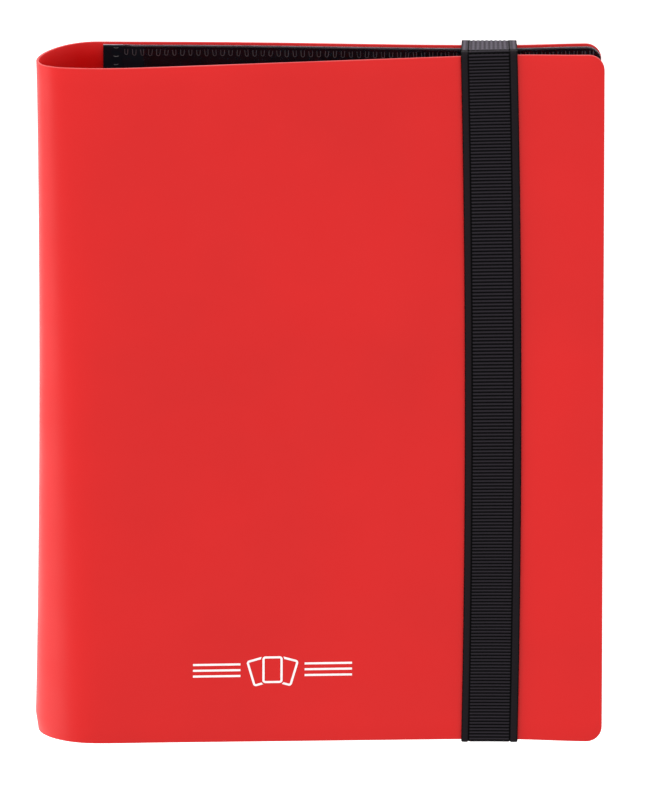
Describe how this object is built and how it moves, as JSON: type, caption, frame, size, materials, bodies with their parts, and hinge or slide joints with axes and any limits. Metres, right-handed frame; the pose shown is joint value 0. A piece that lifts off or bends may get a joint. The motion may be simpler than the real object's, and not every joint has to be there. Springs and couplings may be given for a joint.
{
  "type": "card binder",
  "caption": "Card binder with a wrap-round red cover, rounded spine, clear side-loading pocket pages and an elastic closing strap.",
  "frame": {"origin": "centre of the closed binder's footprint, on the surface it lies on", "axes": "+X from the spine to the fore-edge, +Y from the foot to the head, +Z from the back cover up to the front cover"},
  "size_m": [0.1844, 0.2348, 0.0265],
  "materials": {
    "cover_red": "satin polypropylene",
    "page_black": "satin black polypropylene",
    "pocket_film": "clear film",
    "elastic": "ribbed elastic",
    "print_white": "screen print"
  },
  "bodies": {
    "back": {"back_cover": "cover_red", "binding_strip": "page_black", "page_hinge_film": "page_black", "strap_head_bend": "elastic", "strap_foot_bend": "elastic", "strap_head_tail": "elastic", "strap_foot_tail": "elastic"},
    "front": {"front_cover": "cover_red", "cover_print": "print_white"},
    "strap": {"strap_front": "elastic"},
    "leaf_01": {"page_01": "page_black", "pocket_film_01": "pocket_film"},
    "leaf_02": {"page_02": "page_black", "pocket_film_02": "pocket_film"},
    "leaf_03": {"page_03": "page_black", "pocket_film_03": "pocket_film"},
    "leaf_04": {"page_04": "page_black", "pocket_film_04": "pocket_film"},
    "leaf_05": {"page_05": "page_black", "pocket_film_05": "pocket_film"},
    "leaf_06": {"page_06": "page_black", "pocket_film_06": "pocket_film"},
    "leaf_07": {"page_07": "page_black", "pocket_film_07": "pocket_film"},
    "leaf_08": {"page_08": "page_black", "pocket_film_08": "pocket_film"},
    "leaf_09": {"page_09": "page_black", "pocket_film_09": "pocket_film"},
    "leaf_10": {"page_10": "page_black", "pocket_film_10": "pocket_film"},
    "leaf_11": {"page_11": "page_black", "pocket_film_11": "pocket_film"},
    "leaf_12": {"page_12": "page_black", "pocket_film_12": "pocket_film"},
    "leaf_13": {"page_13": "page_black", "pocket_film_13": "pocket_film"},
    "leaf_14": {"page_14": "page_black", "pocket_film_14": "pocket_film"},
    "leaf_15": {"page_15": "page_black", "pocket_film_15": "pocket_film"},
    "leaf_16": {"page_16": "page_black", "pocket_film_16": "pocket_film"},
    "leaf_17": {"page_17": "page_black", "pocket_film_17": "pocket_film"},
    "leaf_18": {"page_18": "page_black", "pocket_film_18": "pocket_film"},
    "leaf_19": {"page_19": "page_black", "pocket_film_19": "pocket_film"},
    "leaf_20": {"page_20": "page_black", "pocket_film_20": "pocket_film"}
  },
  "joints": [
    {"name": "front_cover_open", "type": "hinge", "parent": "back", "child": "front", "pos_m": [-0.0924, 0, 0.01532], "axis": [0, -1, 0], "range_deg": [0, 184], "deforming": ["page_hinge_film"]},
    {"name": "strap_flip", "type": "hinge", "parent": "back", "child": "strap", "pos_m": [0.055, 0, 0.00846], "axis": [0, 1, 0], "range_deg": [0, 177.5], "deforming": ["strap_front", "strap_head_bend", "strap_foot_bend"]},
    {"name": "leaf_01_turn", "type": "hinge", "parent": "back", "child": "leaf_01", "pos_m": [-0.06, 0, 0.0025], "axis": [0, -1, 0], "range_deg": [0, 0.9]},
    {"name": "leaf_02_turn", "type": "hinge", "parent": "back", "child": "leaf_02", "pos_m": [-0.06, 0, 0.0025], "axis": [0, -1, 0], "range_deg": [0, 1.9]},
    {"name": "leaf_03_turn", "type": "hinge", "parent": "back", "child": "leaf_03", "pos_m": [-0.06, 0, 0.0025], "axis": [0, -1, 0], "range_deg": [0, 2.9]},
    {"name": "leaf_04_turn", "type": "hinge", "parent": "back", "child": "leaf_04", "pos_m": [-0.06, 0, 0.0025], "axis": [0, -1, 0], "range_deg": [0, 3.9]},
    {"name": "leaf_05_turn", "type": "hinge", "parent": "back", "child": "leaf_05", "pos_m": [-0.06, 0, 0.0025], "axis": [0, -1, 0], "range_deg": [0, 4.9]},
    {"name": "leaf_06_turn", "type": "hinge", "parent": "back", "child": "leaf_06", "pos_m": [-0.06, 0, 0.0025], "axis": [0, -1, 0], "range_deg": [0, 5.9]},
    {"name": "leaf_07_turn", "type": "hinge", "parent": "back", "child": "leaf_07", "pos_m": [-0.06, 0, 0.0025], "axis": [0, -1, 0], "range_deg": [0, 6.9]},
    {"name": "leaf_08_turn", "type": "hinge", "parent": "back", "child": "leaf_08", "pos_m": [-0.06, 0, 0.0025], "axis": [0, -1, 0], "range_deg": [0, 7.9]},
    {"name": "leaf_09_turn", "type": "hinge", "parent": "back", "child": "leaf_09", "pos_m": [-0.06, 0, 0.0025], "axis": [0, -1, 0], "range_deg": [0, 8.9]},
    {"name": "leaf_10_turn", "type": "hinge", "parent": "back", "child": "leaf_10", "pos_m": [-0.06, 0, 0.0025], "axis": [0, -1, 0], "range_deg": [0, 9.9]},
    {"name": "leaf_11_turn", "type": "hinge", "parent": "back", "child": "leaf_11", "pos_m": [-0.06, 0, 0.0025], "axis": [0, -1, 0], "range_deg": [0, 141.3]},
    {"name": "leaf_12_turn", "type": "hinge", "parent": "back", "child": "leaf_12", "pos_m": [-0.06, 0, 0.0025], "axis": [0, -1, 0], "range_deg": [0, 142.5]},
    {"name": "leaf_13_turn", "type": "hinge", "parent": "back", "child": "leaf_13", "pos_m": [-0.06, 0, 0.0025], "axis": [0, -1, 0], "range_deg": [0, 143.7]},
    {"name": "leaf_14_turn", "type": "hinge", "parent": "back", "child": "leaf_14", "pos_m": [-0.06, 0, 0.0025], "axis": [0, -1, 0], "range_deg": [0, 144.9]},
    {"name": "leaf_15_turn", "type": "hinge", "parent": "back", "child": "leaf_15", "pos_m": [-0.06, 0, 0.0025], "axis": [0, -1, 0], "range_deg": [0, 146.1]},
    {"name": "leaf_16_turn", "type": "hinge", "parent": "back", "child": "leaf_16", "pos_m": [-0.06, 0, 0.0025], "axis": [0, -1, 0], "range_deg": [0, 147.3]},
    {"name": "leaf_17_turn", "type": "hinge", "parent": "back", "child": "leaf_17", "pos_m": [-0.06, 0, 0.0025], "axis": [0, -1, 0], "range_deg": [0, 148.5]},
    {"name": "leaf_18_turn", "type": "hinge", "parent": "back", "child": "leaf_18", "pos_m": [-0.06, 0, 0.0025], "axis": [0, -1, 0], "range_deg": [0, 149.7]},
    {"name": "leaf_19_turn", "type": "hinge", "parent": "back", "child": "leaf_19", "pos_m": [-0.06, 0, 0.0025], "axis": [0, -1, 0], "range_deg": [0, 150.9]},
    {"name": "leaf_20_turn", "type": "hinge", "parent": "back", "child": "leaf_20", "pos_m": [-0.06, 0, 0.0025], "axis": [0, -1, 0], "range_deg": [0, 152.1]}
  ],
  "couplings": [
    {"joint": "strap_flip", "follows": "front_cover_open", "ratio": 0.96413},
    {"joint": "leaf_01_turn", "follows": "front_cover_open", "ratio": 0.004348},
    {"joint": "leaf_02_turn", "follows": "front_cover_open", "ratio": 0.009783},
    {"joint": "leaf_03_turn", "follows": "front_cover_open", "ratio": 0.015217},
    {"joint": "leaf_04_turn", "follows": "front_cover_open", "ratio": 0.020652},
    {"joint": "leaf_05_turn", "follows": "front_cover_open", "ratio": 0.026087},
    {"joint": "leaf_06_turn", "follows": "front_cover_open", "ratio": 0.031522},
    {"joint": "leaf_07_turn", "follows": "front_cover_open", "ratio": 0.036957},
    {"joint": "leaf_08_turn", "follows": "front_cover_open", "ratio": 0.042391},
    {"joint": "leaf_09_turn", "follows": "front_cover_open", "ratio": 0.047826},
    {"joint": "leaf_10_turn", "follows": "front_cover_open", "ratio": 0.053261},
    {"joint": "leaf_11_turn", "follows": "front_cover_open", "ratio": 0.76739},
    {"joint": "leaf_12_turn", "follows": "front_cover_open", "ratio": 0.77391},
    {"joint": "leaf_13_turn", "follows": "front_cover_open", "ratio": 0.78043},
    {"joint": "leaf_14_turn", "follows": "front_cover_open", "ratio": 0.78696},
    {"joint": "leaf_15_turn", "follows": "front_cover_open", "ratio": 0.79348},
    {"joint": "leaf_16_turn", "follows": "front_cover_open", "ratio": 0.8},
    {"joint": "leaf_17_turn", "follows": "front_cover_open", "ratio": 0.80652},
    {"joint": "leaf_18_turn", "follows": "front_cover_open", "ratio": 0.81304},
    {"joint": "leaf_19_turn", "follows": "front_cover_open", "ratio": 0.81956},
    {"joint": "leaf_20_turn", "follows": "front_cover_open", "ratio": 0.82609}
  ]
}
